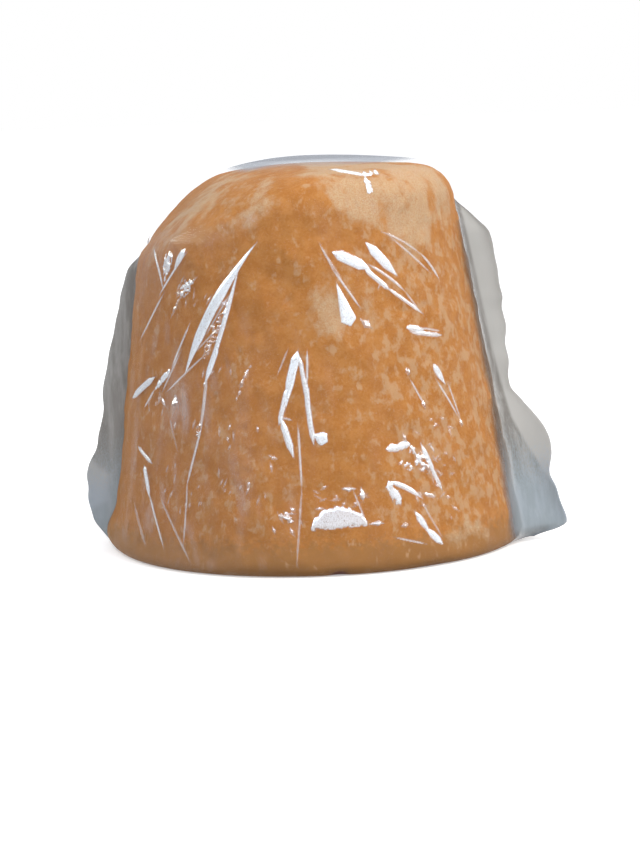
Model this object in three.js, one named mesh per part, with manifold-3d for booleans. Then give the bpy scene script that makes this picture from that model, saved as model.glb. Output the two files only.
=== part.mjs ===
// A moulded block of jaggery sealed in clear plastic film, as one closed solid out to the film.
// Millimetres, +Z up. The origin is the centre of the base and the front faces -Y.
// A place on the wall is given by its turn, in degrees from the front towards +X, and its height.
import * as THREE from "three";
import { mergeVertices } from "three/addons/utils/BufferGeometryUtils.js";
import Module from "manifold-3d";

// Driving dimensions of the moulded block.
const BASE_RADIUS = 57.5;
const TOP_RADIUS = 42;
const HEIGHT = 102;
const TOP_LEAN = -3.4; // how far the top's centre lies towards +X
const TOP_TILT = 1; // how many degrees the top rises towards +X
const FOOT_ROUND = 4.5; // how far the rounding of the lower edge reaches
const SHOULDER_ROUND = 9.5; // how far the rounding of the upper edge reaches
const CROWN = 3.4; // how far the film rises over the middle of the top
const CROWN_AT_EDGE = 1.1; // how far it rises where the upper edge's rounding ends
const CROWN_LEVEL = 14; // how far from the middle the film stays near its full rise
const FLAT_FOOT = 6; // below this height the relief fades out, which leaves the base flat

// Steps round the block and up its wall.
const TURN_STEPS = 96;
const FOOT_STEPS = 3;
const WALL_STEPS = 17;
const SHOULDER_STEPS = 6;
const CROWN_STEPS = 6;

// The upper edge is worn off by soft planes: the way each one faces, how far it lies from the
// block's heart and how softly it runs out.
const WORN_EDGES = [
  { turn: -84, rise: 47, distance: 52.4, softness: 1.6 },
  { turn: -80, rise: 68, distance: 54, softness: 1.6 },
  { turn: -48, rise: 48, distance: 57, softness: 2.2 },
  { turn: 150, rise: 46, distance: 63, softness: 2 },
];

// Slow unevenness of the wall, as waves round the block that change with height.
const WALL_WAVES = [
  { depth: 0.45, lobes: 2, twist: 0.9, phase: 0.6 },
  { depth: 0.3, lobes: 5, twist: -2.1, phase: 2.4 },
  { depth: 0.22, lobes: 9, twist: 3.4, phase: 4.1 },
];

// Folds of film that stand up from the wall. Each runs from one place on the wall to another.
const FOLD_WIDTH = 3.2;
const FOLD_TAPER = 0.15; // share of its half wave that a fold has already risen at its ends
const FOLDS = [
  { from: [-18, 84], to: [-41, 50], height: 1.3 },
  { from: [-29, 48], to: [-39, 8], height: 0.9 },
  { from: [-66, 82], to: [-50, 52], height: 1.2 },
  { from: [-62, 46], to: [-48, 8], height: 1 },
  { from: [8, 84], to: [20, 62], height: 0.9 },
  { from: [14, 81], to: [43, 64], height: 1.1 },
  { from: [-3, 57], to: [-5, 8], height: 1 },
  { from: [44, 52], to: [54, 32], height: 1 },
  { from: [23, 33], to: [36, 8], height: 1.1 },
  { from: [104, 86], to: [126, 20], height: 1.2 },
  { from: [150, 88], to: [141, 44], height: 1.1 },
  { from: [176, 92], to: [182, 8], height: 1.6 },
  { from: [206, 80], to: [222, 34], height: 1.1 },
  { from: [244, 84], to: [238, 12], height: 1.2 },
];

// The film stands off the block as a narrow fin on the left and a broad flap on the right.
// An outline lists how far the film's edge stands off the wall at each share of the height.
const ROOT_DEPTH = 3; // how deep a flap starts inside the wall
const LEFT_FIN = {
  footTurn: -88,
  topTurn: -88,
  rootThickness: 4.5,
  edgeThickness: 1.2,
  wave: 0.5,
  ripples: 3,
  outline: [
    [0.02, 0.6],
    [0.07, 4.8],
    [0.18, 8.2],
    [0.29, 5.6],
    [0.46, 5],
    [0.66, 3.4],
    [0.74, 2],
    [0.8, -0.6],
  ],
};
const RIGHT_FLAP = {
  footTurn: 76,
  topTurn: 92,
  rootThickness: 5.5,
  edgeThickness: 1.2,
  wave: 1.3,
  ripples: 2.5,
  outline: [
    [0.012, 7.5],
    [0.035, 12.4],
    [0.13, 10.6],
    [0.25, 12.9],
    [0.32, 9.4],
    [0.37, 4.4],
    [0.44, 4.6],
    [0.55, 6.2],
    [0.67, 8.2],
    [0.8, 8.6],
    [0.86, 4.6],
    [0.9, 0.4],
  ],
};
const RIPPLE_SLANT = 2; // how far, as an angle, a flap's ripples lag from its root to its edge
const FLAP_STEPS_OUT = 5;
const FLAP_STEPS_UP = 26;

const FILM = new THREE.MeshStandardMaterial({
  name: "wrapped_jaggery",
  color: 0xbf8750,
  roughness: 0.22,
  metalness: 0,
});

const { clamp, degToRad, lerp, radToDeg, smoothstep } = THREE.MathUtils;

// The way a turn faces, level with the ground.
function facing(turn) {
  const angle = degToRad(turn);
  return new THREE.Vector3(Math.sin(angle), -Math.cos(angle), 0);
}

// Radius of the bare cone at a height.
function coneRadius(height) {
  return lerp(BASE_RADIUS, TOP_RADIUS, height / HEIGHT);
}

// Half section of the block from the centre of its base, round its edges, to the centre of its top.
function halfSection() {
  const onWall = (height) => new THREE.Vector2(coneRadius(height), height);
  const centre = new THREE.Vector2(0, 0);
  const footInside = new THREE.Vector2(BASE_RADIUS - FOOT_ROUND, 0);
  const footOnWall = onWall(FOOT_ROUND);
  const shoulderOnWall = onWall(HEIGHT - SHOULDER_ROUND);
  const topEdge = new THREE.Vector2(TOP_RADIUS - SHOULDER_ROUND, HEIGHT + CROWN_AT_EDGE);
  const topPull = new THREE.Vector2(CROWN_LEVEL, HEIGHT + CROWN);
  const topCentre = new THREE.Vector2(0, HEIGHT + CROWN);
  const foot = new THREE.QuadraticBezierCurve(footInside, onWall(0), footOnWall);
  const wall = new THREE.LineCurve(footOnWall, shoulderOnWall);
  const shoulder = new THREE.QuadraticBezierCurve(shoulderOnWall, onWall(HEIGHT), topEdge);
  const crown = new THREE.QuadraticBezierCurve(topEdge, topPull, topCentre);
  return [
    centre,
    ...foot.getPoints(FOOT_STEPS),
    ...wall.getPoints(WALL_STEPS).slice(1),
    ...shoulder.getPoints(SHOULDER_STEPS).slice(1),
    ...crown.getPoints(CROWN_STEPS).slice(1),
  ];
}

// How far the wall swells or sinks at a turn and a height, by its slow waves.
function wallWaves(turn, height) {
  const angle = degToRad(turn);
  const share = height / HEIGHT;
  const swell = ({ depth, lobes, twist, phase }) =>
    depth * Math.sin(lobes * angle + twist * share + phase);
  return WALL_WAVES.reduce((sum, wave) => sum + swell(wave), 0);
}

// How far one fold stands up at a turn and a height: a ridge that fades towards both ends.
function foldHeight(fold, turn, height) {
  const alongWall = (degrees) => degToRad(degrees) * coneRadius(height);
  const [fromTurn, fromHeight] = fold.from;
  const [toTurn, toHeight] = fold.to;
  const nearTurn = turn + 360 * Math.round((fromTurn - turn) / 360);
  const start = new THREE.Vector3(alongWall(fromTurn), fromHeight, 0);
  const end = new THREE.Vector3(alongWall(toTurn), toHeight, 0);
  const place = new THREE.Vector3(alongWall(nearTurn), height, 0);
  const line = new THREE.Line3(start, end);
  const along = line.closestPointToPointParameter(place, true);
  const away = line.at(along, new THREE.Vector3()).distanceTo(place);
  const taper = Math.sin(Math.PI * lerp(FOLD_TAPER, 1 - FOLD_TAPER, along));
  return fold.height * taper * Math.exp(-((away / FOLD_WIDTH) ** 2));
}

// Brings a point that stands out past a soft plane back to that plane.
function wearOff(point, { turn, rise, distance, softness }) {
  const heart = new THREE.Vector3(0, 0, HEIGHT / 2);
  const normal = facing(turn).multiplyScalar(Math.cos(degToRad(rise)));
  normal.z = Math.sin(degToRad(rise));
  const past = point.clone().sub(heart).dot(normal) - distance;
  const cut = softness * Math.log1p(Math.exp(past / softness));
  point.addScaledVector(normal, -cut);
}

// Moves a point of the plain round block to where the wrapped block's uneven surface is.
function unevenPoint(point) {
  const turn = radToDeg(Math.atan2(point.x, -point.y));
  const height = point.z;
  const folds = FOLDS.reduce((sum, fold) => sum + foldHeight(fold, turn, height), 0);
  const relief = (wallWaves(turn, height) + folds) * smoothstep(height, 0, FLAT_FOOT);
  const levelOut = Math.min(Math.hypot(point.x, point.y) / TOP_RADIUS, 1);
  point.addScaledVector(facing(turn), relief * levelOut);
  WORN_EDGES.forEach((edge) => wearOff(point, edge));
  const share = height / HEIGHT;
  point.z += share * Math.tan(degToRad(TOP_TILT)) * point.x;
  point.x += share * TOP_LEAN;
  return point;
}

// The wrapped block without its flaps.
function blockGeometry() {
  const geometry = new THREE.LatheGeometry(halfSection(), TURN_STEPS);
  geometry.rotateX(Math.PI / 2);
  movePoints(geometry, unevenPoint);
  return geometry;
}

// Applies a function to each point of a geometry.
function movePoints(geometry, move) {
  const positions = geometry.getAttribute("position");
  const point = new THREE.Vector3();
  for (let i = 0; i < positions.count; i += 1) {
    point.fromBufferAttribute(positions, i);
    move(point);
    positions.setXYZ(i, point.x, point.y, point.z);
  }
}

// How far a flap's edge stands off the wall at a share of the height, smooth between its stations.
function standOff(outline, share) {
  const passed = outline.findLastIndex(([station]) => station <= share);
  const first = clamp(passed, 0, outline.length - 2);
  const [[fromShare, fromReach], [toShare, toReach]] = outline.slice(first, first + 2);
  return lerp(fromReach, toReach, smoothstep(share, fromShare, toShare));
}

// A flap of film: a wavy upright plate, thick at its root in the wall and thin at its free edge.
function flapGeometry(flap) {
  const { footTurn, topTurn, rootThickness, edgeThickness, wave, ripples, outline } = flap;
  const bottom = outline[0][0];
  const top = outline.at(-1)[0];
  const geometry = new THREE.BoxGeometry(1, 1, 1, FLAP_STEPS_OUT, 1, FLAP_STEPS_UP);
  movePoints(geometry, (point) => {
    const outward = point.x + 0.5;
    const share = lerp(bottom, top, point.z + 0.5);
    const height = share * HEIGHT;
    const turn = lerp(footTurn, topTurn, share);
    const root = coneRadius(height) - ROOT_DEPTH;
    const reach = root + outward * (ROOT_DEPTH + standOff(outline, share));
    const thickness = lerp(rootThickness, edgeThickness, outward);
    const bend = wave * outward * Math.sin(2 * Math.PI * ripples * share + RIPPLE_SLANT * outward);
    const sideways = point.y * thickness + bend;
    point.copy(facing(turn)).multiplyScalar(reach).addScaledVector(facing(turn + 90), sideways);
    point.x += TOP_LEAN * share;
    point.z = height;
  });
  return geometry;
}

const wasm = await Module();
wasm.setup();

// A closed geometry as a solid that can be joined to others.
function toSolid(geometry) {
  const bare = geometry.clone();
  bare.deleteAttribute("normal");
  bare.deleteAttribute("uv");
  const merged = mergeVertices(bare);
  return new wasm.Manifold(
    new wasm.Mesh({
      numProp: 3,
      vertProperties: merged.getAttribute("position").array,
      triVerts: new Uint32Array(merged.index.array),
    }),
  );
}

// A solid as a geometry that a mesh can show.
function toGeometry(solid) {
  const { vertProperties, triVerts } = solid.getMesh();
  const geometry = new THREE.BufferGeometry();
  geometry.setAttribute("position", new THREE.BufferAttribute(vertProperties, 3));
  geometry.setIndex(new THREE.BufferAttribute(triVerts, 1));
  geometry.computeVertexNormals();
  return geometry;
}

// The whole wrapped block: the block and both flaps in one piece.
function wrappedBlock() {
  const flaps = [LEFT_FIN, RIGHT_FLAP].map((flap) => toSolid(flapGeometry(flap)));
  const solid = flaps.reduce((joined, flap) => joined.add(flap), toSolid(blockGeometry()));
  const mesh = new THREE.Mesh(toGeometry(solid), FILM);
  mesh.name = "wrapped_jaggery_block";
  return mesh;
}

const jaggery = new THREE.Group();
jaggery.add(wrappedBlock());

export default jaggery;
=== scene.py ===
"""A moulded block of jaggery sealed in clear film: the block, its film and two film flaps.

Shapes are worked out in millimetres and turned into metres as each mesh is made. The origin is
the centre of the base, +Z is up and the front faces -Y. A place on the wall is given by its
turn, in degrees from the front towards +X, and its height.
"""
import math
from dataclasses import dataclass

import bmesh
import bpy
import numpy as np
from mathutils import Matrix, Vector

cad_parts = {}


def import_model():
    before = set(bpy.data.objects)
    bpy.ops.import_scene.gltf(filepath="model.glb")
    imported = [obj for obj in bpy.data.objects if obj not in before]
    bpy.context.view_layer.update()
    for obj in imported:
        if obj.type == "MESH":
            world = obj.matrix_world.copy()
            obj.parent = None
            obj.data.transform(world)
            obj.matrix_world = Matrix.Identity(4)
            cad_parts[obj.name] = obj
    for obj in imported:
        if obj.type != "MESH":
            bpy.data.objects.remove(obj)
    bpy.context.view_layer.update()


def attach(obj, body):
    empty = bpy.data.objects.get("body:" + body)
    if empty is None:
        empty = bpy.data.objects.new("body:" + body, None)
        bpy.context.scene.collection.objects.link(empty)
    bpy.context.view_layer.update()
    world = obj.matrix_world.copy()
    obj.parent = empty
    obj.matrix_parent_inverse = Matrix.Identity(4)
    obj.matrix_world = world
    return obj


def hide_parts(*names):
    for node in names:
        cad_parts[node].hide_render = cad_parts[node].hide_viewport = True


NODE = "wrapped_jaggery_block"
BODY = "root"
METRES = 0.001

# The moulded block
BASE_RADIUS = 57.5
TOP_RADIUS = 42.0
HEIGHT = 102.0
TOP_LEAN = -3.4
TOP_TILT = 1.0
FOOT_ROUND = 4.5
SHOULDER_ROUND = 9.5
FLAT_FOOT = 6.0
WALL_SLANT = math.atan2(BASE_RADIUS - TOP_RADIUS, HEIGHT)

# The film's rise over the top: in the middle, at the shoulder, and how far it stays level
CROWN = 3.4
CROWN_AT_EDGE = 1.1
CROWN_LEVEL = 14.0

# The bare block inside the film
BLOCK_INSET = 0.6
BLOCK_TOP = 0.9
BLOCK_CROWN = 2.2
BLOCK_CROWN_AT_EDGE = 0.6
BLOCK_SINK = 0.1  # how far the block's relief is lowered as a whole
BLOCK_STEP = 0.9  # size of its mesh's faces
BASE_STEP = 3.0  # size of the faces under it, from its middle outwards
CREVICE_DEPTH = 1.2

# Soft planes that wear the upper edge off: turn, rise, distance from the heart and softness
WORN_EDGES = [
    (-84, 47, 52.4, 1.6),
    (-80, 68, 54.0, 1.6),
    (-48, 48, 57.0, 2.2),
    (150, 46, 63.0, 2.0),
]

# The lip that the foot has at the left: depth, turn and its spread, height and its spread
FOOT_LIP = (2.2, -88, 15, 6.0, 5.0)

# Slow unevenness of the wall: depth, lobes round the block, twist with height and phase
WALL_WAVES = [
    (0.45, 2, 0.9, 0.6),
    (0.30, 5, -2.1, 2.4),
    (0.22, 9, 3.4, 4.1),
]

# The camera that took the picture
CAMERA_PLACE = (0.0, -690.0, 127.94)
CAMERA_PAN = math.radians(0.108)
CAMERA_TILT = math.radians(7.983)
CAMERA_ROLL = math.radians(2.0375)
CAMERA_LENS = 107.0
CAMERA_SENSOR = 36.0


def facing(turn):
    """The way a turn faces, level with the ground; turn is an array of degrees."""
    angle = np.radians(turn)
    return np.stack([np.sin(angle), -np.cos(angle), np.zeros_like(angle)], axis=-1)


def cone_radius(height):
    """Radius of the bare cone at a height."""
    return BASE_RADIUS + (TOP_RADIUS - BASE_RADIUS) * height / HEIGHT


def smoothstep(value, low, high):
    share = np.clip((value - low) / (high - low), 0, 1)
    return share * share * (3 - 2 * share)


def bell(value, width):
    return np.exp(-np.square(value / width))


@dataclass
class Section:
    """Half a section of a body of revolution, from the centre of its base to that of its top."""

    along: np.ndarray
    radius: np.ndarray
    height: np.ndarray

    def at(self, along):
        return np.interp(along, self.along, self.radius), np.interp(along, self.along, self.height)


def bezier(start, pull, end, steps=24):
    """Points of a quadratic curve, without its first."""
    share = np.linspace(0, 1, steps + 1)[1:, None]
    start, pull, end = (np.array(point) for point in (start, pull, end))
    return start * (1 - share) ** 2 + 2 * pull * share * (1 - share) + end * share**2


def half_section(inset=0.0, top_drop=0.0, crown=CROWN, crown_at_edge=CROWN_AT_EDGE):
    """The section of the wrapped block, or of the bare block where it is inset."""
    top = HEIGHT - top_drop
    base = BASE_RADIUS - inset

    def on_wall(height):
        return cone_radius(height) - inset, height

    foot_in = (base - FOOT_ROUND, 0)
    foot_out = on_wall(FOOT_ROUND)
    shoulder = on_wall(top - SHOULDER_ROUND)
    edge = (TOP_RADIUS - SHOULDER_ROUND, top + crown_at_edge)
    middle = (0, top + crown)
    points = np.vstack([
        [(0, 0), foot_in],
        bezier(foot_in, on_wall(0), foot_out),
        [shoulder],
        bezier(shoulder, on_wall(top), edge),
        bezier(edge, (CROWN_LEVEL, top + crown), middle),
    ])
    steps = np.hypot(*np.diff(points, axis=0).T)
    along = np.concatenate([[0], np.cumsum(steps)])
    return Section(along, points[:, 0], points[:, 1])


def wall_waves(turn, height):
    """How far the wall swells or sinks by its slow waves."""
    angle = np.radians(turn)
    share = height / HEIGHT
    return sum(
        depth * np.sin(lobes * angle + twist * share + phase)
        for depth, lobes, twist, phase in WALL_WAVES
    )


def wear_off(points, turn, rise, distance, softness):
    """Brings points that stand out past a soft plane back to that plane."""
    rise = math.radians(rise)
    normal = facing(np.array(float(turn))) * math.cos(rise)
    normal[2] = math.sin(rise)
    past = (points - [0, 0, HEIGHT / 2]) @ normal - distance
    cut = softness * np.logaddexp(0, past / softness)
    return points - cut[:, None] * normal


def wear_edges(points, clearance):
    """Wears the upper edge off; clearance is how far past the soft planes points may stand."""
    for turn, rise, distance, softness in WORN_EDGES:
        points = wear_off(points, turn, rise, distance + clearance, softness)
    return points


def spot(turn, height, middle_turn, turn_spread, middle_height, height_spread):
    """A soft spot on the wall, 1 in its middle."""
    return bell(turn - middle_turn, turn_spread) * bell(height - middle_height, height_spread)


def uneven(turn, radius, height, relief, sink=0.0):
    """Places of points on the uneven block: relief stands out from the wall, sink goes inwards."""
    level_out = np.minimum(radius / TOP_RADIUS, 1)
    swell = wall_waves(turn, height) * smoothstep(height, 0, FLAT_FOOT) * level_out
    lip_depth, *lip_place = FOOT_LIP
    swell += lip_depth * spot(turn, height, *lip_place) * level_out
    points = facing(turn) * (radius + swell)[:, None]
    points[:, 2] = height
    points = wear_edges(points, -sink)
    points += facing(turn) * (relief * smoothstep(height, 0, FLAT_FOOT) * level_out)[:, None]
    share = height / HEIGHT
    points[:, 2] += share * math.tan(math.radians(TOP_TILT)) * points[:, 0]
    points[:, 0] += share * TOP_LEAN
    return points


def wave_noise(points, size, seed, waves=24):
    """Smooth seeded noise from about -1 to 1 with features of a size, at each point."""
    rng = np.random.default_rng(seed)
    ways = rng.normal(size=(waves, 3))
    ways /= np.linalg.norm(ways, axis=1)[:, None]
    length = size * rng.uniform(0.7, 1.6, waves)
    phase = rng.uniform(0, 2 * math.pi, waves)
    angle = points @ (ways * 2 * math.pi / length[:, None]).T + phase
    return np.sin(angle).sum(axis=1) / math.sqrt(waves / 2)


# Meshes

def unrolled_grid(turns, stations):
    """A flat bmesh grid with the turn as x and the place along the section as y."""
    across, up = np.meshgrid(turns, stations)
    places = np.stack([across.ravel(), up.ravel(), np.zeros(across.size)], axis=1)
    columns = len(turns)
    corner = np.arange(across.size).reshape(across.shape)[:-1, :-1].ravel()
    faces = np.stack([corner, corner + 1, corner + columns + 1, corner + columns], axis=1)
    mesh = bpy.data.meshes.new("grid")
    mesh.from_pydata(places.tolist(), [], faces.tolist())
    grid = bmesh.new()
    grid.from_mesh(mesh)
    bpy.data.meshes.remove(mesh)
    return grid


def grid_places(grid):
    return np.array([vertex.co[:2] for vertex in grid.verts])


def refine(grid, wanted):
    """Cuts each face in four where the function wanted says so for the places of its corners."""
    chosen = wanted(grid_places(grid))
    grid.verts.ensure_lookup_table()
    grid.verts.index_update()
    edges = {
        edge
        for face in grid.faces
        if any(chosen[vertex.index] for vertex in face.verts)
        for edge in face.edges
    }
    bmesh.ops.subdivide_edges(grid, edges=list(edges), cuts=1, use_grid_fill=True)


def skin(name, grid, places, attributes):
    """Turns an unrolled grid into a closed mesh object; attributes are values at each point."""
    layers = {key: grid.verts.layers.float.new(key) for key in attributes}
    for index, vertex in enumerate(grid.verts):
        vertex.co = places[index] * METRES
        for key, layer in layers.items():
            vertex[layer] = attributes[key][index]
    bmesh.ops.remove_doubles(grid, verts=grid.verts, dist=1e-6)
    bmesh.ops.recalc_face_normals(grid, faces=grid.faces)
    mesh = bpy.data.meshes.new(name)
    grid.to_mesh(mesh)
    grid.free()
    mesh.shade_smooth()
    return add_object(name, mesh)


def add_object(name, data):
    thing = bpy.data.objects.new(name, data)
    bpy.context.scene.collection.objects.link(thing)
    return thing


def dress(piece, material):
    """Gives a piece its material, hangs it on the body and hides the part of the model that it stands
    for.
    """
    piece.data.materials.append(material)
    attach(piece, BODY)
    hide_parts(NODE)


# Folds of film

@dataclass
class Facet:
    """A fold's outline on the unrolled wall: a face tilted to mirror a light, or a low ridge."""

    turn: float
    height: float
    length: float
    width: float
    lean: float  # degrees from upright, positive where the upper end lies towards +X
    widest: float = 0.5  # share of the length, from the lower end, where it is widest
    blunt: float = 1.0  # 1 for a kite, more for a strip that keeps its width to near its ends
    bend: float = 0.0  # how far its middle bows out towards the right of its length
    ragged: float = 0.0  # how far its outline wanders
    cover: float = 1.0  # how fully it shines
    painted_glint: float = 0.3  # how much white glint is painted on the film there, seen from any side
    dome: bool = False  # half an oval that stands on its length, instead of a kite
    ridge: bool = False  # a low ridge instead of a tilted face


CREASE_COVER = 0.3


def crease(turn, height, length, lean, width=0.5, painted_glint=0.7, bend=0.0, blunt=2.5, **outline):
    """A low ridge of film with a painted white glint, mostly thin."""
    return Facet(
        turn, height, length, width, lean, blunt=blunt, bend=bend, cover=CREASE_COVER,
        painted_glint=painted_glint, ridge=True, **outline,
    )


FACETS = [
    # The long blade on the left
    crease(-27.7, 68.2, 40, 32, 2.7, 1.0, -1.4, widest=0.42, blunt=1.5),
    crease(-25.4, 65.9, 28, 18, 1.2, 0.9, 0.4, widest=0.3, blunt=2),
    crease(-27.5, 67, 13, 34, 0.4, 0.5),
    crease(-31, 61, 10, 48, 0.4, 0.5),
    Facet(-28.3, 63, 20, 3.4, 25, 0.5, 1.6, ragged=2.2, cover=0.5),
    # The crease below it
    crease(-29.7, 54.4, 11, 22, 1.5, 1.0, widest=0.7, blunt=2),
    crease(-32.3, 44.5, 14, 8, 0.9, 0.6),
    crease(-35.6, 31, 17, 17, 0.6),
    crease(-38.5, 16, 17, 3, 0.45, 0.6),
    Facet(-34, 38, 9, 2.2, 10, ragged=1.0, cover=0.6),
    # The folds at the upper right
    crease(17, 79.5, 11, -62, 2.6, 1.0, widest=0.6, blunt=2.2),
    crease(28.7, 74.4, 13, -52, 0.6, 0.7, 0.5),
    crease(37, 68, 6, -34, 0.5, 0.5),
    crease(25.1, 74.3, 9, -48, 1.2, 0.9, blunt=3),
    crease(34.3, 68.3, 13, -53, 0.8, 0.8),
    crease(27.8, 79.2, 12.5, -41, 2.5, 1.0, widest=0.6, blunt=1.7),
    crease(36.7, 82.8, 13.5, -60, 0.45, 0.6, 0.5),
    crease(47.5, 76.1, 9, -37, 0.7, 0.7, 0.4),
    crease(39.9, 79.5, 15, -49, 0.45, 0.6),
    crease(12.8, 68.7, 11.5, -13, 3.9, 1.0, widest=0.14, blunt=1.05),
    Facet(19.4, 63.4, 4.5, 2.4, -46, ragged=0.3, cover=0.5, painted_glint=0.4),
    crease(9, 80.7, 7, -23, 0.4, 0.6),
    crease(14.2, 72.7, 12, -31, 0.45, 0.7),
    crease(11, 78, 8, -27, 0.35, 0.4),
    crease(36.6, 60.9, 6, -78, 1.5, 0.9, widest=0.6, blunt=1.8),
    crease(42.7, 60.2, 7, -77, 0.45, 0.6),
    crease(41, 59.2, 11, -80, 1.0, 0.8),
    crease(26, 73, 3, 40, 0.35, 0.5),
    # The tall arch in the middle
    crease(-4.4, 50.5, 15, 15, 2.0, 1.0, -0.3, widest=0.75, blunt=1.8),
    crease(-7.3, 44, 10, 15, 1.1, 0.9, blunt=3),
    crease(-1.0, 50.6, 12, -6, 1.0, 0.9, blunt=3),
    crease(-6.6, 36, 11, -15, 1.6, 0.95, blunt=1.8),
    crease(-6.7, 40.7, 3, -77, 0.4, 0.6),
    crease(0.3, 53.5, 8, 4, 0.45, 0.8),
    crease(0.2, 42.2, 17, -3, 1.2, 0.9, -0.3, blunt=3),
    crease(2.6, 35.6, 4.2, -60, 3.2, 1.0, widest=0.3, blunt=1.3),
    crease(-3.4, 31.2, 16, 0, 0.5),
    crease(-4.6, 13.7, 20, 7, 0.4, 0.45),
    crease(-6.8, 55, 7, 25, 0.4, 0.4),
    Facet(-10.8, 31, 3, 1.4, -64, ragged=0.4, cover=0.6),
    Facet(-18, 52, 10, 1.4, 28, 0.3, 1.5, ragged=0.7, cover=0.35),
    Facet(-20.5, 47, 4, 1.3, 26, ragged=0.4, cover=0.8),
    # The small folds on the right
    Facet(31.4, 50.5, 3.2, 1.8, -10, ragged=0.4),
    crease(33.7, 45.1, 7, -26, 0.45, 0.7),
    Facet(35.5, 41.7, 2.6, 1.3, -11),
    crease(43.2, 48.6, 6.5, -28, 1.8, 0.9, widest=0.7, blunt=1.6),
    crease(44.8, 42.3, 11.5, -28, 0.5, 0.7),
    crease(47.3, 41.3, 10, -14, 0.45, 0.6),
    Facet(48.6, 35.6, 2.4, 1.2, -9),
    crease(24.5, 31.8, 8, -95, 2.2, 0.9, widest=0.35, ragged=0.4),
    Facet(27.1, 33.9, 3, 1.0, -17),
    crease(33.9, 27.6, 9, -19, 1.4, 0.9, blunt=2),
    crease(35.7, 22.8, 7.5, -22, 1.2, 0.8, blunt=1.8),
    Facet(32.3, 27, 7, 3.0, -13, 0.5, 1.5, ragged=1.4, cover=0.8),
    crease(25.4, 20.8, 10.5, -59, 1.2, 0.9, 0.5, widest=0.6, blunt=1.8),
    crease(32.6, 18.7, 4, -70, 0.9, 0.5),
    crease(21.7, 20.2, 7.5, -20, 2.8, 0.9, widest=0.6, ragged=0.5),
    crease(32, 12.6, 11, -26, 0.45, 0.45),
    crease(28.9, 12.3, 7, -32, 1.7, 0.95, widest=0.6, blunt=1.4),
    crease(31.7, 8.6, 7.5, -44, 1.8, 1.0, widest=0.35, blunt=1.4),
    crease(24.7, 8, 8.5, -73, 0.35, 0.7),
    crease(36, 30.3, 2, -30, 0.45, 0.7),
    crease(30.3, 28.3, 8, -25, 2.8, 0.8, ragged=1.3),
    crease(26.3, 27.0, 5, -60, 2.0, 0.7, ragged=1.0),
    # The half dome and the patches round it at the lower middle
    crease(5.8, 15.4, 14.5, -92, 5.8, 0.85, dome=True, ragged=0.45),
    Facet(9.2, 22.4, 4, 1.4, -86, ragged=0.25, painted_glint=0.6),
    Facet(12.7, 20.7, 4.4, 1.7, -7, ragged=0.25, painted_glint=0.6),
    crease(11.6, 18, 8, -17, 0.35, 0.6),
    Facet(16.1, 13.2, 4.8, 1.3, -89, ragged=0.3, painted_glint=0.6),
    Facet(-8, 15.7, 5, 2.8, -60, ragged=0.8, painted_glint=0.5),
    Facet(23.6, 12.1, 2.6, 1.4, -96, ragged=0.3),
    # The crumpled folds at the left
    crease(-56, 79, 14, -32, 0.6, 0.8, 0.8),
    crease(-50, 79.5, 10, 9, 3.6, 0.8, widest=0.7, blunt=1.5, ragged=0.9),
    crease(-43.8, 81.8, 6.5, 33, 1.7, 0.9, widest=0.7, blunt=1.6),
    crease(-47, 77.6, 15.5, 41, 0.55, 0.8),
    crease(-57.4, 65.9, 16, 39, 0.55, 0.7),
    crease(-40, 73.8, 7, 50, 3.4, 0.8, ragged=1.2),
    Facet(-45, 68.5, 7.5, 1.3, 32, ragged=0.4, cover=0.8),
    crease(-42, 59, 13.5, 28, 0.5, 0.7),
    crease(-46, 51.8, 13, 32, 0.4, 0.6),
    crease(-39.6, 52, 17, 53, 0.4, 0.6),
    crease(-60.5, 47, 14, 61, 1.8, 0.9),
    crease(-50, 49.7, 9, 46, 1.7, 0.9, widest=0.75, ragged=0.3),
    crease(-56, 44.5, 7, 41, 0.5, 0.7),
    Facet(-49, 44, 3.4, 1.1, -37),
    crease(-44.2, 36, 9.5, -22, 0.4, 0.3),
    Facet(-44, 44, 6, 2.4, 6, ragged=0.9, cover=0.7),
    crease(-57, 29.6, 8.5, -62, 1.0, 0.8),
    crease(-55, 22.6, 9, -21, 1.4, 0.9, widest=0.75),
    crease(-50, 13, 15.5, -27, 0.5, 0.8),
    crease(-42.2, 11, 19, -37, 0.55, 0.45),
    crease(-57.7, 11, 13, -33, 1.0, 0.3),
    # The glint along the front of the top edge
    crease(22.4, 101.6, 8.5, -76, 0.8, 0.8),
    crease(31, 101, 6.5, -96, 1.4, 0.9, ragged=0.4),
    crease(27.3, 98.2, 5.0, 6, 1.9, 0.9, widest=0.25, ragged=0.4),
]
FACET_STEP = (0.25, 1.3)  # a facet falls back in a step where it would rise higher than this
FACET_STEP_SHARE = 0.5  # the height of a facet's steps as a share of its width
FACET_EDGE = 2.2  # slope of the film at a facet's edge
FACET_TILT = math.radians(28)  # the most that a facet tilts from the wall
CREASE_SLOPE = 0.6
CREASE_HEIGHT = 0.3
RAGGED_SIZE = 2.2  # size of the wanderings of a ragged outline
RAGGED_SHARE = 0.7
FRONT_TURN = 85  # facets further round than this are tilted for a viewer at their own side
SIDE_VIEW_ELEVATION = 10


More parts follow.
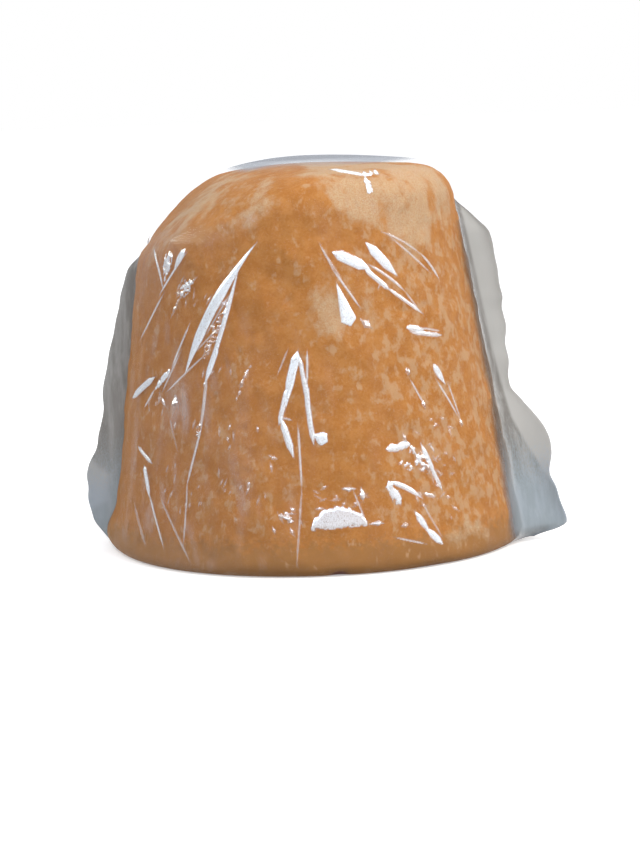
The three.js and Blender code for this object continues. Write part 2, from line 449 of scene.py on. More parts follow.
# Soft boxes that the film alone reflects: azimuth from the front towards +X, elevation, radiance
# and colour. Those behind stand higher, so that the film on top doesn't mirror them to the front.
GREENISH = (0.84, 0.98, 0.88)
BLUISH = (0.60, 0.78, 1.0)
WHITISH = (0.86, 0.93, 1.0)
SOFT_BOXES = [
    (-108, 31, 14, GREENISH),
    (-84, 30, 20, GREENISH),
    (-60, 29, 20, BLUISH),
    (-36, 29, 20, BLUISH),
    (-12, 29, 20, BLUISH),
    (12, 29, 20, BLUISH),
    (36, 29, 20, BLUISH),
    (60, 29, 20, WHITISH),
    (84, 30, 20, WHITISH),
    (115, 48, 9, WHITISH),
    (155, 55, 9, WHITISH),
    (-165, 55, 9, WHITISH),
    (-132, 48, 9, WHITISH),
]
SOFT_BOX_DISTANCE = 1.5
SOFT_BOX_SIZE = (0.58, 0.42)


def direction(azimuth, elevation):
    """The way to a light or a viewer, as a vector of length 1."""
    azimuth, elevation = math.radians(azimuth), math.radians(elevation)
    level = math.cos(elevation)
    return np.array([math.sin(azimuth) * level, -math.cos(azimuth) * level, math.sin(elevation)])


def wall_frame(turn):
    """Outward normal of the wall, the way round towards +X and the way up it, at a turn."""
    out = facing(np.array(float(turn)))
    up = np.array([0, 0, 1.0])
    normal = out * math.cos(WALL_SLANT) + up * math.sin(WALL_SLANT)
    climb = up * math.cos(WALL_SLANT) - out * math.sin(WALL_SLANT)
    sideways = facing(np.array(float(turn + 90)))
    return normal, sideways, climb


def facet_slope(facet):
    """Slope round and up the wall that mirrors a soft box to whoever looks at the facet.

    Of all the boxes it takes the one that needs the least relief on the facet.
    """
    normal, sideways, climb = wall_frame(facet.turn)
    place = facing(np.array(float(facet.turn))) * cone_radius(facet.height)
    place[2] = facet.height
    eye = np.array(CAMERA_PLACE)
    if abs(facet.turn) > FRONT_TURN:
        eye = direction(facet.turn, SIDE_VIEW_ELEVATION) * np.linalg.norm(eye)
    view = (eye - place) / np.linalg.norm(eye - place)
    lean = math.radians(facet.lean)
    slopes = []
    for azimuth, elevation, _, _ in SOFT_BOXES:
        half = view + direction(azimuth, elevation)
        half /= np.linalg.norm(half)
        level = half @ normal
        slope_round, slope_up = -(half @ sideways) / level, -(half @ climb) / level
        along = slope_round * math.sin(lean) + slope_up * math.cos(lean)
        across = slope_round * math.cos(lean) - slope_up * math.sin(lean)
        rise = abs(along) * facet.length + abs(across) * facet.width
        too_steep = level < math.cos(FACET_TILT)
        slopes.append((too_steep, rise, slope_round, slope_up))
    return min(slopes)[2:]


def facet_relief(facet, turn, radius, height):
    """How far a facet stands out at each point, and how far inside its outline the point is."""
    lean = math.radians(facet.lean)
    aside = np.radians(turn - facet.turn) * radius
    above = (height - facet.height) / math.cos(WALL_SLANT)
    along = above * math.cos(lean) + aside * math.sin(lean)
    across = aside * math.cos(lean) - above * math.sin(lean)
    share = along / facet.length + 0.5
    across = across - facet.bend * 4 * share * (1 - share)
    if facet.dome:
        above_base = across + facet.width / 2
        vault = facet.width * np.sqrt(np.clip(4 * share * (1 - share), 0, None))
        inside = np.minimum(above_base, vault - above_base)
    else:
        taper = np.minimum(share / facet.widest, (1 - share) / (1 - facet.widest))
        inside = facet.width / 2 * np.minimum(facet.blunt * taper, 1) - np.abs(across)
    if facet.ragged:
        place = np.stack([aside, above, 0 * above], axis=1)
        seed = round(1000 + 10 * facet.turn + facet.height)
        wander = wave_noise(place, RAGGED_SIZE, seed)
        wander += 0.5 * wave_noise(place, RAGGED_SIZE / 2, seed + 1)
        inside = inside - facet.ragged * np.abs(wander) * RAGGED_SHARE
    if facet.ridge:
        return np.clip(CREASE_SLOPE * inside, 0, CREASE_HEIGHT), inside
    slope_round, slope_up = facet_slope(facet)
    rise = slope_round * aside + slope_up * above
    step = np.clip(FACET_STEP_SHARE * facet.width, *FACET_STEP)
    relief = np.clip(np.minimum(np.mod(rise + step / 2, step), FACET_EDGE * inside), 0, None)
    return relief, inside


# Clusters of creases on the sides and the back: turn, height and lean
BACK_CLUSTERS = [
    (112, 70, -30),
    (108, 34, -18),
    (134, 50, 24),
    (152, 24, -40),
    (158, 74, 35),
    (180, 46, 12),
    (197, 70, -28),
    (206, 26, 30),
    (228, 52, -14),
    (236, 72, 28),
    (252, 30, -24),
]


# Patches of small crumples: turn, height, the spread of each, how many, lean and its spread
CRUMPLE_PATCHES = [
    (8, 20, 8, 3, 12, -80, 40),
    (-28, 62, 5, 13, 22, 25, 30),
    (-40, 73, 4, 4, 12, 40, 50),
    (38, 30, 7, 8, 22, -60, 60),
    (34, 19, 7, 7, 14, -60, 60),
    (-8, 15, 4, 3, 8, -40, 50),
    (-40, 28, 8, 12, 16, 15, 15),
    (-20, 26, 9, 14, 18, 10, 25),
    (-52, 44, 5, 6, 12, 40, 50),
]


def scattered_facets():
    """Small seeded facets in the crumpled patches, and folds on the sides and the back."""
    rng = np.random.default_rng(11)
    facets = []
    for turn, height, spread_turn, spread_height, count, lean, spread_lean in CRUMPLE_PATCHES:
        for _ in range(count):
            facets.append(Facet(
                turn=turn + spread_turn * rng.uniform(-1, 1),
                height=height + spread_height * rng.uniform(-1, 1),
                length=rng.uniform(1.0, 3.2),
                width=rng.uniform(0.35, 0.8),
                lean=lean + spread_lean * rng.uniform(-1, 1),
                cover=rng.uniform(0.3, 1.0),
            ))
    for centre, height, lean in BACK_CLUSTERS:
        for _ in range(rng.integers(5, 9)):
            facets.append(crease(
                turn=centre + rng.uniform(-11, 11),
                height=height + rng.uniform(-11, 11),
                length=rng.uniform(9, 28),
                lean=lean + rng.uniform(-14, 14),
                width=rng.choice([0.4, 0.5, 0.7, 1.8]),
                painted_glint=rng.uniform(0.4, 0.9),
                bend=rng.uniform(-0.7, 0.7),
                widest=rng.uniform(0.3, 0.7),
                blunt=rng.uniform(1.3, 2.5),
            ))
    return facets


def close_points(facet, margin, turn, radius, height):
    """Which points a facet may reach, and the turns of all points counted from near its own."""
    aside = (turn - facet.turn + 180) % 360 - 180
    reach = facet.length / 2 + margin + abs(facet.bend)
    close = np.abs(aside) * math.pi / 180 * radius < reach
    close &= np.abs(height - facet.height) < reach
    return close, aside + facet.turn


def film_relief(facets, turn, radius, height):
    """The film's own relief from its facets, how far they cover it, and how much white glint is
    painted on it.
    """
    relief = np.zeros_like(turn)
    cover = np.zeros_like(turn)
    painted_glint = np.zeros_like(turn)
    for facet in facets:
        close, near_turn = close_points(facet, 1, turn, radius, height)
        if not close.any():
            continue
        rise, inside = facet_relief(facet, near_turn[close], radius[close], height[close])
        relief[close] = np.maximum(relief[close], rise)
        sharp = smoothstep(inside, -0.2, 0.1)
        cover[close] = np.maximum(cover[close], facet.cover * sharp)
        painted_glint[close] = np.maximum(painted_glint[close], facet.painted_glint * sharp)
    return relief, cover, painted_glint


def near_facets(facets, section, margin):
    """A test of grid places for how near they are to a facet."""
    def wanted(places):
        turn = places[:, 0]
        radius, height = section.at(places[:, 1])
        chosen = np.zeros(len(turn), bool)
        for facet in facets:
            close, near_turn = close_points(facet, margin, turn, radius, height)
            if close.any():
                place = near_turn[close], radius[close], height[close]
                chosen[close] |= facet_relief(facet, *place)[1] > -margin
        return chosen
    return wanted


def stations_along(section, steps):
    """Places along a section with a step for each stretch, listed as (end of stretch, step)."""
    places = [0.0]
    for end, step in steps:
        start = places[-1]
        count = max(1, round((end - start) / step))
        places.extend(np.linspace(start, end, count + 1)[1:])
    return np.array(places)


# The film's mesh: columns between the front's two ends and on each side of the back, then the
# size of its faces under the block, on the wall and over the top
FRONT_END = 92
FRONT_COLUMNS = 158
BACK_COLUMNS = 64
FILM_BASE_STEP = 4.0
FILM_WALL_STEP = 1.2
FILM_TOP_STEP = 1.6
FILM_WALL_LENGTH = 104.0  # along the section, from the flat base, with the wall's step
REFINED_MARGINS = (0.5, 0.15)  # how far round the facets faces are cut in four, once for each
WRINKLE_DEPTH = 0.05
WRINKLE_SIZE = 14


def film_wrap():
    """The film round the block, as one closed surface."""
    section = half_section()
    facets = FACETS + scattered_facets()
    base_end = section.along[1]
    turns = np.concatenate([
        np.linspace(-180, -FRONT_END, BACK_COLUMNS, endpoint=False),
        np.linspace(-FRONT_END, FRONT_END, FRONT_COLUMNS, endpoint=False),
        np.linspace(FRONT_END, 180, BACK_COLUMNS + 1),
    ])
    stations = stations_along(section, [
        (base_end, FILM_BASE_STEP),
        (base_end + FILM_WALL_LENGTH, FILM_WALL_STEP),
        (section.along[-1], FILM_TOP_STEP),
    ])
    grid = unrolled_grid(turns, stations)
    for margin in REFINED_MARGINS:
        refine(grid, near_facets(facets, section, margin))
    places = grid_places(grid)
    turn = places[:, 0]
    radius, height = section.at(places[:, 1])
    relief, cover, painted_glint = film_relief(facets, turn, radius, height)
    points = uneven(turn, radius, height, relief)
    wrinkles = WRINKLE_DEPTH * wave_noise(points, WRINKLE_SIZE, seed=5)
    points += facing(turn) * wrinkles[:, None]
    matt = smoothstep(height, HEIGHT - 12, HEIGHT - 3) * (1 - cover)
    tent = smoothstep(height, HEIGHT + 0.8, HEIGHT + 1.6)
    tent *= smoothstep(points[:, 2], HEIGHT - 0.5, HEIGHT + 1.0)
    haze = film_haze(points, turn, height) * (1 - 0.5 * matt)
    return skin("film_wrap", grid, points, {
        "haze": haze, "fold": cover, "painted_glint": painted_glint, "matt": matt, "tent": tent,
    })


def film_haze(points, turn, height):
    """How milky the film is: upright streaks, most of them at the lower left."""
    stretched = points * [1, 1, 0.16]
    streaks = smoothstep(wave_noise(stretched, size=7, seed=21), 0.3, 1.8)
    fine = smoothstep(wave_noise(stretched, size=3, seed=22), 0.5, 2.0)
    left_low = bell(turn + 42, 26) * smoothstep(height, 88, 40)
    shoulder = spot(turn, height, -62, 18, 84, 14)
    thick = 0.07 * left_low + 0.19 * shoulder
    return 0.01 + (0.13 * streaks + 0.18 * fine) * (0.12 + left_low) + thick


# Flaps: where they stand, how thick and how clear they are, how they ripple, and their outline as
# shares of the height with how far the film's edge stands off the wall there

@dataclass
class Flap:
    foot_turn: float
    top_turn: float
    front_root: float  # how far the front layer stands off the flap's middle at its root
    back_root: float
    gather: float  # how quickly the two layers come together
    edge_thickness: float
    wave: float
    ripples: float
    root_haze: float
    edge_haze: float
    fold_line: list  # where the paler outer part begins, given as the outline is
    fold_softness: float
    outline: list


ROOT_DEPTH = 3.0
FLAP_CLEARANCE = 0.4  # how far past the block's worn edges a flap may stand
RIPPLE_SLANT = 2.0
CORNER_ROUNDING = 0.008  # share of the height over which a flap's corners are rounded
FLAP_RAGGED = 0.2  # how far a flap's free edge wanders
FLAP_CRUMPLE = 0.4  # how far its film is crumpled sideways
LEFT_FIN = Flap(
    foot_turn=-88, top_turn=-88, front_root=3.5, back_root=2.2, gather=1.0, edge_thickness=0.6,
    wave=0.5, ripples=3, root_haze=0.9, edge_haze=0.75,
    fold_line=[
        (0.08, 9.0), (0.13, 2.6), (0.20, 2.2), (0.25, 8.0), (0.30, 6.2), (0.55, 4.2), (0.80, 0.8),
    ],
    fold_softness=1.8,
    outline=[
        (0.004, -1.5), (0.025, 0.8), (0.045, 3.2), (0.07, 5.1), (0.14, 7.1), (0.19, 8.0),
        (0.24, 7.4), (0.326, 5.2), (0.41, 5.2), (0.54, 4.1), (0.67, 2.4), (0.76, 0.9),
        (0.80, -3.0),
    ],
)
RIGHT_FLAP = Flap(
    foot_turn=76, top_turn=92, front_root=16, back_root=2.7, gather=2.2, edge_thickness=0.6,
    wave=0.9, ripples=1.5, root_haze=0.03, edge_haze=0.78,
    fold_line=[
        (0.12, 12.5), (0.155, 10.2), (0.19, 8.3), (0.26, 5.5), (0.33, 3.0), (0.40, 2.0),
        (0.50, 1.4), (0.88, 0.6),
    ],
    fold_softness=0.45,
    outline=[
        (0.010, 1.5), (0.038, 11.8), (0.054, 12.5), (0.11, 11.3), (0.17, 10.3), (0.265, 12.3),
        (0.285, 11.7), (0.345, 8.6), (0.38, 5.5), (0.40, 3.6), (0.50, 5.2), (0.62, 6.2),
        (0.64, 7.2), (0.77, 7.2), (0.824, 6.9), (0.865, 2.9), (0.90, -0.3), (0.94, -1.5),
    ],
)


def stand_off(outline, share):
    """How far a flap's edge stands off at shares of the height, with its corners rounded."""
    stations, reaches = np.array(outline).T
    shifts = CORNER_ROUNDING * np.array([-1, 0, 1])
    return sum(np.interp(share + shift, stations, reaches) for shift in shifts) / len(shifts)


def film_flap(name, flap, seed, steps_out=30, steps_up=150):
    """A flap of film: two layers, apart at the wall and together at the free edge."""
    outward, rise, side = np.meshgrid(
        np.linspace(0, 1, steps_out + 1), np.linspace(0, 1, steps_up + 1), [-0.5, 0.5],
        indexing="ij",
    )
    shape = outward.shape
    outward, rise, side = outward.ravel(), rise.ravel(), side.ravel()
    share = flap.outline[0][0] + (flap.outline[-1][0] - flap.outline[0][0]) * rise
    height = share * HEIGHT
    turn = flap.foot_turn + (flap.top_turn - flap.foot_turn) * share
    ends = smoothstep(rise, 0, 0.06) * smoothstep(rise, 1, 0.9)
    along_edge = np.stack([height, 0 * side, outward], axis=1)
    ragged = FLAP_RAGGED * outward * ends * wave_noise(along_edge, 7, seed)
    reach = cone_radius(height) - ROOT_DEPTH
    reach += outward * (ROOT_DEPTH + stand_off(flap.outline, share)) + ragged
    apart = (1 - outward) ** flap.gather
    front = flap.front_root * apart + flap.edge_thickness / 2 * outward
    back = flap.back_root * apart + flap.edge_thickness / 2 * outward
    front_side = -1 if flap.foot_turn > 0 else 1
    thickness = np.where(side * front_side > 0, front, back) * 2
    bend = flap.wave * outward
    bend *= np.sin(2 * math.pi * flap.ripples * share + RIPPLE_SLANT * outward)
    crumple = np.stack([reach, 0 * reach, height * 0.7], axis=1)
    bend += FLAP_CRUMPLE * outward * ends * wave_noise(crumple, 14, seed + 1)
    sideways = side * thickness + bend
    points = facing(turn) * reach[:, None] + facing(turn + 90) * sideways[:, None]
    points[:, 2] = height
    points = wear_edges(points, FLAP_CLEARANCE)
    points[:, 0] += TOP_LEAN * share
    proud = reach - cone_radius(height)
    haze = flap.root_haze + (flap.edge_haze - flap.root_haze) * smoothstep(proud, -2.2, 1.0)
    past_fold = proud - np.interp(share, *np.array(flap.fold_line).T)
    pale = smoothstep(past_fold, -flap.fold_softness, flap.fold_softness)
    return flap_mesh(name, points * METRES, shape, {"haze": haze, "tone": pale})


def flap_mesh(name, points, shape, attributes):
    """Joins a block of points, two layers thick, into a closed sheet."""
    index = np.arange(len(points)).reshape(shape)
    faces = []
    for layer, flip in ((0, False), (1, True)):
        sheet = index[:, :, layer]
        quads = np.stack([sheet[:-1, :-1], sheet[1:, :-1], sheet[1:, 1:], sheet[:-1, 1:]], axis=-1)
        quads = quads.reshape(-1, 4)
        faces.extend((quads[:, ::-1] if flip else quads).tolist())
    rims = [index[:, 0], index[-1, :], index[::-1, -1], index[0, ::-1]]
    for rim in rims:
        for (low, high), (next_low, next_high) in zip(rim[:-1], rim[1:]):
            faces.append([int(low), int(high), int(next_high), int(next_low)])
    mesh = bpy.data.meshes.new(name)
    mesh.from_pydata(points.tolist(), [], faces)
    for key, values in attributes.items():
        layer = mesh.attributes.new(key, "FLOAT", "POINT")
        layer.data.foreach_set("value", values.astype(np.float32))
    tidy = bmesh.new()
    tidy.from_mesh(mesh)
    bmesh.ops.recalc_face_normals(tidy, faces=tidy.faces)
    tidy.to_mesh(mesh)
    tidy.free()
    mesh.shade_smooth()
    return add_object(name, mesh)


# The bare block

# Spots with more bloom, or with less: strength, turn and its spread, height and its spread
BLOOM_SPOTS = [
    (0.34, 22, 20, 62, 24),
    (0.50, -14, 9, 93, 9),
    (0.65, -58, 17, 84, 9),
    (0.45, 7, 7, 64, 7),
    (0.42, -2, 17, 74, 13),
    (0.75, 44, 16, 6, 7),
    (-0.65, -1, 8, 92, 11),
]


def bloom_cover(turn, height):
    """How much pale sugar bloom covers the block at each point, from 0 to 1."""
    right = bell(turn - 43, 33)
    cover = smoothstep(height, 78, 96) * (0.42 + 0.62 * right)
    cover += 0.40 * right * smoothstep(height, 60, 84)
    cover += 0.45 * bell(turn + 66, 24) * smoothstep(height, 88, 99)
    for strength, *place in BLOOM_SPOTS:
        cover += strength * spot(turn, height, *place)
    return np.clip(cover, 0, 1)


def fleck_cover(turn, height):
    """How densely small pale flecks lie on the wall, from 0 to 1."""
    right = smoothstep(turn, -8, 40) * smoothstep(height, 92, 78)
    left_low = bell(turn + 32, 22) * smoothstep(height, 66, 30)
    return np.clip(0.25 + 0.75 * right + 0.45 * left_low, 0, 1) * smoothstep(height, 6, 14)


def crevice_and_shade(turn, height):
    """How deep the crevices at the foot of the block are at each point, from 0 to 1; the same share
    lays painted shade in them.
    """
    chip = bell(turn - 5.0, 2.6) * smoothstep(height, 2.2, 0.6)
    crack = 0.45 * bell(turn - 33, 8) * smoothstep(height, 1.8, 0.4)
    return chip + crack


def jaggery_block():
    """The bare block, with its lumps, pits and crevices."""
    section = half_section(BLOCK_INSET, BLOCK_TOP, BLOCK_CROWN, BLOCK_CROWN_AT_EDGE)
    columns = round(2 * math.pi * BASE_RADIUS / BLOCK_STEP)
    base_end = section.along[1]
    stations = stations_along(section, [(base_end, BASE_STEP), (section.along[-1], BLOCK_STEP)])
    grid = unrolled_grid(np.linspace(-180, 180, columns + 1), stations)
    places = grid_places(grid)
    turn = places[:, 0]
    radius, height = section.at(places[:, 1])
    round_points = facing(turn) * radius[:, None] + np.stack([0 * height, 0 * height, height], 1)
    lumps = 0.16 * wave_noise(round_points, size=11, seed=31)
    lumps += 0.07 * wave_noise(round_points, size=4, seed=32)
    pits = -0.35 * smoothstep(wave_noise(round_points, size=3.2, seed=33), 1.5, 2.6)
    points = uneven(turn, radius, height, lumps + pits - BLOCK_SINK, BLOCK_INSET)
    depth = crevice_and_shade(turn, height)
    points -= facing(turn) * (CREVICE_DEPTH * depth * radius / BASE_RADIUS)[:, None]
    return skin("jaggery_block", grid, points, {
        "bloom_cover": bloom_cover(turn, height),
        "fleck_cover": fleck_cover(turn, height),
        "crevice_and_shade": depth,
    })


# Materials

# A Mix node's sockets for colours, which share their names with those for numbers
MIX_FIRST = 6
MIX_SECOND = 7
MIX_RESULT = 2


class Graph:
    """Adds nodes to a tree with short calls."""

    def __init__(self, tree):
        self.tree = tree
        tree.nodes.clear()

    def add(self, kind, inputs=None, **settings):
        node = self.tree.nodes.new(kind)
        for key, value in settings.items():
            setattr(node, key, value)
        for key, value in (inputs or {}).items():
            if isinstance(value, bpy.types.NodeSocket):
                self.tree.links.new(value, node.inputs[key])
            else:
                node.inputs[key].default_value = value
        return node

    def math(self, operation, first, second=0.0, third=0.0, clamp=False):
        inputs = {0: first, 1: second, 2: third}
        return self.add("ShaderNodeMath", inputs, operation=operation, use_clamp=clamp).outputs[0]

    def ramp(self, value, low, high, to_low=0.0, to_high=1.0):
        inputs = {"Value": value, "From Min": low, "From Max": high, "To Min": to_low,
                  "To Max": to_high}
        return self.add("ShaderNodeMapRange", inputs, interpolation_type="SMOOTHSTEP").outputs[0]

    def mix(self, factor, first, second):
        inputs = {"Factor": factor, MIX_FIRST: first, MIX_SECOND: second}
        return self.add("ShaderNodeMix", inputs, data_type="RGBA").outputs[MIX_RESULT]

    def noise(self, size_mm, detail=4.0, roughness=0.55, vector=None):
        """Noise from 0 to 1 with features of a size in millimetres."""
        inputs = {"Scale": 1 / (size_mm * METRES), "Detail": detail, "Roughness": roughness}
        if vector is not None:
            inputs["Vector"] = vector
        return self.add("ShaderNodeTexNoise", inputs).outputs[0]

    def object_place(self):
        return self.add("ShaderNodeTexCoord").outputs["Object"]

    def height(self, place):
        return self.add("ShaderNodeSeparateXYZ", {"Vector": place}).outputs["Z"]

    def stretched(self, vector, scale):
        inputs = {0: vector, 1: scale}
        return self.add("ShaderNodeVectorMath", inputs, operation="MULTIPLY").outputs[0]

    def attribute(self, name):
        return self.add("ShaderNodeAttribute", attribute_name=name).outputs["Fac"]

    def bump(self, height, depth_mm):
        inputs = {"Height": height, "Distance": depth_mm * METRES, "Strength": 1.0}
        return self.add("ShaderNodeBump", inputs).outputs[0]


def new_material(name):
    material = bpy.data.materials.new(name)
    material.use_nodes = True
    return material, Graph(material.node_tree)


def rgb(red, green, blue):
    return (red, green, blue, 1.0)


AMBER_DARK = rgb(0.440, 0.172, 0.038)
AMBER_LIGHT = rgb(0.500, 0.218, 0.060)
BLOOM = rgb(0.560, 0.388, 0.235)
FLECK = rgb(0.540, 0.325, 0.170)
TAN = rgb(0.360, 0.172, 0.055)
# painted shade in the crevices at the foot
CREVICE_SHADE = rgb(0.16, 0.048, 0.024)
SPECK = rgb(0.07, 0.025, 0.012)
MILKY = rgb(0.60, 0.50, 0.48)
FOLD_TINT = rgb(0.44, 0.23, 0.11)
TENT = rgb(0.10, 0.095, 0.11)
# colour of the glints painted on the film's folds and specks
PAINTED_GLINT_COLOUR = rgb(0.84, 0.92, 1.0)
FLAP_INNER = rgb(0.17, 0.155, 0.135)
FLAP_OUTER = rgb(0.43, 0.425, 0.405)
# bluish painted reflections low on the flaps
FLAP_GLEAM = rgb(0.36, 0.42, 0.49)
FLAP_FOOT_REFLECTION = rgb(0.27, 0.325, 0.36)


def jaggery_material():
    """Amber, darker at the foot, with pale bloom, flecks, dark specks and painted shade in the
    crevices.
    """
    material, graph = new_material("jaggery")
    place = graph.object_place()
    height = graph.height(place)
    upright = graph.stretched(place, (1.0, 1.0, 0.75))
    broad = graph.math("MULTIPLY", graph.noise(30, 2), 0.5)
    mottle = graph.math("MULTIPLY_ADD", graph.noise(6, 4, 0.6), 0.5, broad)
    amber = graph.mix(graph.ramp(mottle, 0.38, 0.62), AMBER_DARK, AMBER_LIGHT)
    foot = graph.math("MULTIPLY_ADD", graph.noise(12, 3), 0.012, height)
    amber = graph.mix(graph.ramp(foot, 0.017, 0.012, 0.0, 0.85), amber, TAN)
    patches = graph.noise(9, 7, 0.62, upright)
    bloom_level = graph.math("MULTIPLY_ADD", graph.attribute("bloom_cover"), 0.40, patches)
    bloom = graph.ramp(bloom_level, 0.72, 0.90)
    veil = graph.ramp(graph.noise(3.4, 5, 0.65), 0.36, 0.60, 0.45, 1.0)
    colour = graph.mix(graph.math("MULTIPLY", bloom, veil), amber, BLOOM)
    fleck_level = graph.noise(2.6, 5, 0.62, upright)
    fleck_level = graph.math("MULTIPLY_ADD", graph.attribute("fleck_cover"), 0.14, fleck_level)
    flecks = graph.ramp(fleck_level, 0.59, 0.74, 0.0, 0.8)
    colour = graph.mix(flecks, colour, FLECK)
    # painted shade in the crevices at the foot
    colour = graph.mix(graph.ramp(graph.attribute("crevice_and_shade"), 0.15, 0.8), colour, CREVICE_SHADE)
    cells = graph.add("ShaderNodeTexVoronoi", {"Scale": 1 / (18 * METRES)}).outputs
    chosen = graph.math("GREATER_THAN", graph.add(
        "ShaderNodeSeparateColor", {0: cells["Color"]}).outputs[0], 0.55)
    specks = graph.math("MULTIPLY", graph.ramp(cells["Distance"], 0.045, 0.020), chosen)
    colour = graph.mix(graph.math("MULTIPLY", specks, 0.8), colour, SPECK)
    grain = graph.noise(0.9, 5, 0.7)
    shader = graph.add("ShaderNodeBsdfPrincipled", {
        "Base Color": colour,
        "Roughness": 0.55,
        "Specular IOR Level": 0.2,
        "Subsurface Weight": 0.12,
        "Subsurface Radius": (1.0, 0.45, 0.15),
        "Subsurface Scale": 2.0 * METRES,
        "Normal": graph.bump(grain, 0.12),
    })
    graph.add("ShaderNodeOutputMaterial", {"Surface": shader.outputs[0]})
    return material


def film_material():
    """Clear film: its see-through share comes from the haze at each point and from the angle."""
    material, graph = new_material("clear_film")
    place = graph.object_place()
    upright = graph.stretched(place, (1.0, 1.0, 0.2))
    fold = graph.attribute("fold")
    # Painted glints: white laid on the folds and on the specks, broken up by noise
    glint_patchiness = graph.ramp(graph.noise(1.6, 3), 0.34, 0.50, 0.4, 1.0)
    painted_glint = graph.math("MULTIPLY", graph.attribute("painted_glint"), glint_patchiness)
    streaks = graph.ramp(graph.noise(2.2, 4, 0.6, upright), 0.3, 0.7, 0.7, 1.3)
    hazy = graph.attribute("haze")
    haze = graph.math("MULTIPLY", hazy, streaks)
    facing_share = graph.add("ShaderNodeLayerWeight", {"Blend": 0.12}).outputs["Facing"]
    edge = graph.ramp(facing_share, 0.35, 1.0, 0.0, 0.62)
    matt = graph.attribute("matt")
    edge = graph.math("MULTIPLY", edge, graph.ramp(matt, 0.0, 1.0, 1.0, 0.1))
    grazing = graph.ramp(facing_share, 0.34, 0.43, 0.08, 0.86)
    tent = graph.math("MULTIPLY", graph.attribute("tent"), grazing)
    clear = graph.math("ADD", graph.math("ADD", haze, edge), tent)
    milky = graph.mix(matt, MILKY, TENT)
    # specks of painted glint
    specks = painted_glint_specks(graph, hazy)
    painted_glint = graph.math("MAXIMUM", painted_glint, specks)
    alpha = graph.math("MULTIPLY_ADD", fold, 0.42, clear)
    shader = graph.add("ShaderNodeBsdfPrincipled", {
        "Base Color": graph.mix(painted_glint, graph.mix(fold, milky, FOLD_TINT), PAINTED_GLINT_COLOUR),
        "Roughness": graph.ramp(matt, 0.0, 1.0, 0.18, 0.85),
        "IOR": 1.5,
        "Specular IOR Level": 1.0,
        "Alpha": graph.math("MULTIPLY_ADD", painted_glint, 0.9, alpha, clamp=True),
    })
    graph.add("ShaderNodeOutputMaterial", {"Surface": shader.outputs[0]})
    return material


def painted_glint_specks(graph, haze):
    """Tiny white specks painted as glints of crumpled film, more of them where the film is hazy."""
    cells = graph.add("ShaderNodeTexVoronoi", {"Scale": 1 / (1.3 * METRES)}).outputs
    draw = graph.add("ShaderNodeSeparateColor", {0: cells["Color"]}).outputs[0]
    share = graph.math("MULTIPLY_ADD", haze, 1.6, 0.11)
    chosen = graph.math("LESS_THAN", draw, share)
    return graph.math("MULTIPLY", graph.ramp(cells["Distance"], 0.23, 0.10, 0.0, 0.9), chosen)


def flap_material():
    """The doubled film of the flaps: milky, paler at the free edge, with a painted bluish reflection
    near the foot.
    """
    material, graph = new_material("milky_film")
    place = graph.object_place()
    height = graph.height(place)
    cloud = graph.math("MULTIPLY_ADD", graph.noise(9, 3), 0.03, height)
    # Painted reflection: the flaps turn bluish towards the foot, here and in the pale outer film
    # below
    colour = graph.mix(graph.ramp(cloud, 0.050, 0.028), FLAP_INNER, FLAP_FOOT_REFLECTION)
    upright = graph.stretched(place, (1.0, 1.0, 0.15))
    streak = graph.ramp(graph.noise(3, 4, 0.6, upright), 0.40, 0.66, 0.0, 0.55)
    pale = graph.mix(graph.ramp(cloud, 0.042, 0.028), FLAP_OUTER, FLAP_GLEAM)
    colour = graph.mix(streak, colour, pale)
    colour = graph.mix(graph.attribute("tone"), colour, pale)
    shader = graph.add("ShaderNodeBsdfPrincipled", {
        "Base Color": colour,
        "Roughness": 0.32,
        "IOR": 1.5,
        "Specular IOR Level": 0.5,
        "Alpha": graph.attribute("haze"),
        "Normal": graph.bump(graph.noise(5, 2, 0.4), 0.05),
    })
    graph.add("ShaderNodeOutputMaterial", {"Surface": shader.outputs[0]})
    return material


# Studio

FLOOR_REACH = 6.0
SKY_LOW = rgb(0.27, 0.27, 0.27)
SKY_HIGH = rgb(0.75, 0.76, 0.79)
STUDIO_LIGHT_DISTANCE = 1.2
STUDIO_LIGHT_SIZE = (0.8, 0.8)


def floor():
    """A pale floor whose own glow doesn't light the block."""
    mesh = bpy.data.meshes.new("floor")
    corners = [(x * FLOOR_REACH, y * FLOOR_REACH, 0) for x, y in ((-1, -1), (1, -1), (1, 1), (-1, 1))]
    mesh.from_pydata(corners, [], [(0, 1, 2, 3)])
    thing = add_object("floor", mesh)
    material, graph = new_material("floor")
    shader = graph.add("ShaderNodeBsdfPrincipled", {
        "Base Color": rgb(0.90, 0.90, 0.90),
        "Roughness": 0.9,
        "Specular IOR Level": 0.1,
        "Emission Color": rgb(1.0, 1.0, 1.0),
        "Emission Strength": 0.40,
    })
    graph.add("ShaderNodeOutputMaterial", {"Surface": shader.outputs[0]})
    mesh.materials.append(material)
    thing.visible_diffuse = False


def soft_light(name, azimuth, elevation, distance, size, power, colour):
    """A rectangular light that faces the middle of the block."""
    data = bpy.data.lights.new(name, "AREA")
    data.shape = "RECTANGLE"
    data.size, data.size_y = size
    data.energy = power
    data.color = colour
    light = add_object(name, data)
    towards = Vector(direction(azimuth, elevation))
    light.location = towards * distance + Vector((0, 0, HEIGHT * METRES / 2))
    light.rotation_euler = towards.to_track_quat("Z", "Y").to_euler()
    light.visible_camera = False
    return light


def soft_boxes(film):
    """Lights that show in the film's folds and light nothing else."""
    lit = bpy.data.collections.new("lit_by_soft_boxes")
    lit.objects.link(film)
    width, height = SOFT_BOX_SIZE
    for number, (azimuth, elevation, radiance, colour) in enumerate(SOFT_BOXES, start=1):
        box = soft_light(f"soft_box_{number}", azimuth, elevation, SOFT_BOX_DISTANCE,
                         SOFT_BOX_SIZE, radiance * math.pi * width * height, colour)
        box.visible_diffuse = False
        box.light_linking.receiver_collection = lit


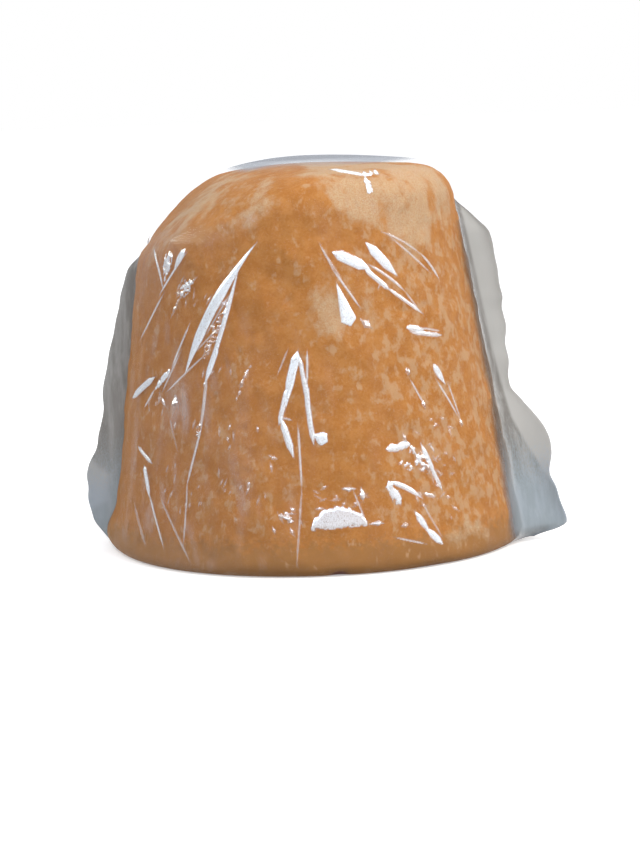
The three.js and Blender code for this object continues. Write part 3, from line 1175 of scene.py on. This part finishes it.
def world():
    """White behind the block, with a glow that is brighter from above than from below."""
    studio = bpy.data.worlds.new("studio")
    bpy.context.scene.world = studio
    studio.use_nodes = True
    graph = Graph(studio.node_tree)
    way = graph.add("ShaderNodeTexCoord").outputs["Generated"]
    up = graph.height(way)
    glow = graph.mix(graph.ramp(up, -0.5, 0.6), SKY_LOW, SKY_HIGH)
    path = graph.add("ShaderNodeLightPath").outputs
    seen = graph.mix(path["Is Camera Ray"], glow, rgb(1.0, 1.0, 1.0))
    background = graph.add("ShaderNodeBackground", {"Color": seen})
    graph.add("ShaderNodeOutputWorld", {"Surface": background.outputs[0]})


def camera():
    """The camera at the photo's angle."""
    data = bpy.data.cameras.new("camera")
    data.lens = CAMERA_LENS
    data.sensor_width = CAMERA_SENSOR
    eye = add_object("camera", data)
    level = math.cos(CAMERA_TILT)
    forward = Vector((
        math.sin(CAMERA_PAN) * level, math.cos(CAMERA_PAN) * level, -math.sin(CAMERA_TILT)
    ))
    rolled = Matrix.Rotation(-CAMERA_ROLL, 3, "Z")
    turned = forward.to_track_quat("-Z", "Y").to_matrix() @ rolled
    eye.location = Vector(CAMERA_PLACE) * METRES
    eye.rotation_euler = turned.to_euler()
    bpy.context.scene.camera = eye


def studio(film):
    """Floor, surroundings, lights and camera."""
    bpy.context.scene.view_settings.view_transform = "Standard"
    floor()
    world()
    shared = {"elevation": 40, "distance": STUDIO_LIGHT_DISTANCE, "size": STUDIO_LIGHT_SIZE}
    key = soft_light("key", azimuth=55, power=12.0, colour=(1.0, 0.97, 0.93), **shared)
    fill = soft_light("fill", azimuth=-35, power=4.4, colour=(0.92, 0.96, 1.0), **shared)
    key.visible_glossy = fill.visible_glossy = False
    soft_boxes(film)
    camera()


def main():
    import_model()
    flap_film = flap_material()
    film = film_wrap()
    film.visible_shadow = False  # else its folds with painted glints edge themselves with shadow
    dress(jaggery_block(), jaggery_material())
    dress(film, film_material())
    dress(film_flap("film_fin", LEFT_FIN, 41), flap_film)
    dress(film_flap("film_flap", RIGHT_FLAP, 51), flap_film)
    studio(film)


main()
